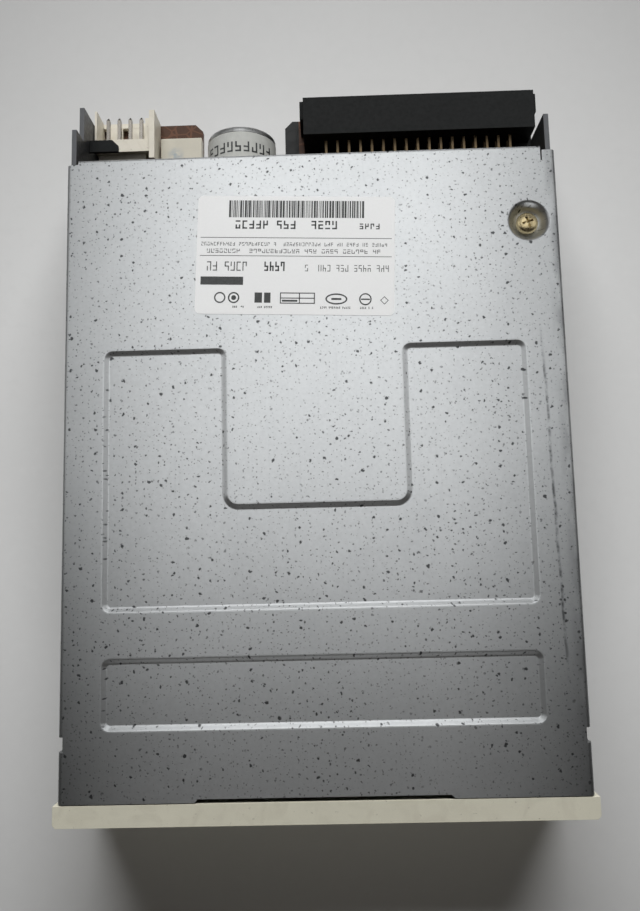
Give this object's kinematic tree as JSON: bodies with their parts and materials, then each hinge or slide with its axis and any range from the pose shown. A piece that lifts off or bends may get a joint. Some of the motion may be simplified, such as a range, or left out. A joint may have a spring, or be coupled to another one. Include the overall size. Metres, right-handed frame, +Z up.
{
  "type": "floppy disk drive",
  "caption": "Flat steel-cased 3.5-inch floppy disk drive with a front slot and flap, eject button, pressed top cover, spindle and head mechanism, and rear signal and power connectors.",
  "frame": {"origin": "under the middle of the drive's bounding box, on the surface it stands on", "axes": "+X to the right seen from the bezel, +Y from the bezel to the rear connectors, +Z up through the top cover"},
  "size_m": [0.1016, 0.1492, 0.0255],
  "materials": {
    "chassis_steel": "satin",
    "cover_zinc": "satin",
    "screw_zinc": "satin",
    "label_film": "satin",
    "bezel_plastic": "matte",
    "bright_steel": "polished",
    "lamp_plastic": "gloss",
    "motor_board": "satin",
    "brass_parts": "satin",
    "black_plastic": "matte",
    "core_steel": "matte",
    "copper_wire": "gloss",
    "ferrite": "matte",
    "head_ceramic": "polished",
    "flex_film": "gloss",
    "white_plastic": "satin",
    "motor_can": "satin",
    "board_resin": "satin",
    "chip_resin": "matte",
    "pin_metal": "bright",
    "cream_plastic": "satin"
  },
  "bodies": {
    "drive": {"chassis": "chassis_steel", "top_cover": "cover_zinc", "cover_screw": "screw_zinc", "cover_label": "label_film", "front_bezel": "bezel_plastic", "door_spring": "bright_steel", "led_lamp": "lamp_plastic", "slide_springs": "bright_steel", "lever_post": "screw_zinc", "lever_spring": "bright_steel", "spindle_board": "motor_board", "spindle_bearing": "brass_parts", "thrust_plate": "black_plastic", "stator_core": "core_steel", "stator_coils": "copper_wire", "board_flex": "flex_film", "guide_rod": "bright_steel", "rod_holders": "cover_zinc", "drive_screws": "screw_zinc", "screw_bearing": "white_plastic", "stepper_motor": "motor_can", "stepper_flange": "chassis_steel", "stepper_label": "label_film", "stepper_flex": "flex_film", "wire_guard": "black_plastic", "track_sensor": "black_plastic", "switch_bodies": "black_plastic", "main_board": "board_resin", "board_screws": "screw_zinc", "control_chip": "chip_resin", "board_parts": "chip_resin", "flex_socket": "white_plastic", "stepper_socket": "white_plastic", "header_shroud": "black_plastic", "header_pins": "pin_metal", "power_connector": "cream_plastic"},
    "carrier": {"disk_carrier": "cover_zinc", "carrier_pins": "bright_steel"},
    "slider": {"slide_plate": "chassis_steel", "eject_button": "bezel_plastic"},
    "door": {"door_flap": "bezel_plastic"},
    "lever": {"shutter_lever": "chassis_steel"},
    "rotor": {"rotor_cup": "bright_steel", "rotor_magnet": "ferrite", "spindle_shaft": "bright_steel", "spindle_hub": "brass_parts", "chuck_magnet": "ferrite", "drive_pin": "bright_steel"},
    "carriage": {"head_carriage": "black_plastic", "lower_head": "head_ceramic", "arm_pin": "bright_steel", "arm_spring": "bright_steel", "screw_follower": "brass_parts", "head_flex": "flex_film"},
    "arm": {"upper_arm": "bright_steel", "upper_head": "head_ceramic"},
    "screw": {"lead_screw": "bright_steel"},
    "protect_key": {"protect_plunger": "white_plastic"},
    "density_key": {"density_plunger": "white_plastic"},
    "disk_key": {"disk_plunger": "white_plastic"}
  },
  "joints": [
    {"name": "eject_slide", "type": "slide", "parent": "drive", "child": "slider", "axis": [0, -1, 0], "range_m": [0, 0.006], "deforming": ["slide_springs"]},
    {"name": "carrier_drop", "type": "slide", "parent": "drive", "child": "carrier", "axis": [0, 0, -1], "range_m": [0, 0.003]},
    {"name": "door_swing", "type": "hinge", "parent": "drive", "child": "door", "pos_m": [0, -0.0716, 0.0238], "axis": [-1, 0, 0], "range_deg": [-85, 0], "stiffness_Nm_per_rad": 0.0004, "springref_deg": 17.19},
    {"name": "lever_swing", "type": "hinge", "parent": "drive", "child": "lever", "pos_m": [0.04, 0.0276, 0.0135], "axis": [0, 0, 1], "range_deg": [-55, 0], "stiffness_Nm_per_rad": 0.0008, "springref_deg": 17.19},
    {"name": "spindle_spin", "type": "hinge", "parent": "drive", "child": "rotor", "pos_m": [0, -0.0249, 0.01592], "axis": [0, 0, 1], "continuous": true},
    {"name": "carriage_travel", "type": "slide", "parent": "drive", "child": "carriage", "axis": [0, -1, 0], "range_m": [0, 0.01481]},
    {"name": "arm_lowering", "type": "hinge", "parent": "carriage", "child": "arm", "pos_m": [0, 0.0411, 0.01827], "axis": [1, 0, 0], "range_deg": [0, 11.76]},
    {"name": "screw_turn", "type": "hinge", "parent": "drive", "child": "screw", "pos_m": [-0.0154, 0.0366, 0.011], "axis": [0, 1, 0], "range_deg": [0, 1425]},
    {"name": "protect_press", "type": "slide", "parent": "drive", "child": "protect_key", "axis": [0, 0, 1], "range_m": [-0.0012, 0], "stiffness_N_per_m": 30, "springref_m": 0.001},
    {"name": "density_press", "type": "slide", "parent": "drive", "child": "density_key", "axis": [0, 0, 1], "range_m": [-0.0012, 0], "stiffness_N_per_m": 30, "springref_m": 0.001},
    {"name": "disk_press", "type": "slide", "parent": "drive", "child": "disk_key", "axis": [0, 0, 1], "range_m": [-0.0012, 0], "stiffness_N_per_m": 30, "springref_m": 0.001}
  ],
  "couplings": [
    {"joint": "carrier_drop", "follows": "eject_slide", "ratio": 0.5},
    {"joint": "arm_lowering", "follows": "eject_slide", "rad_per_m": 34.19},
    {"joint": "screw_turn", "follows": "carriage_travel", "rad_per_m": 1675.5}
  ]
}
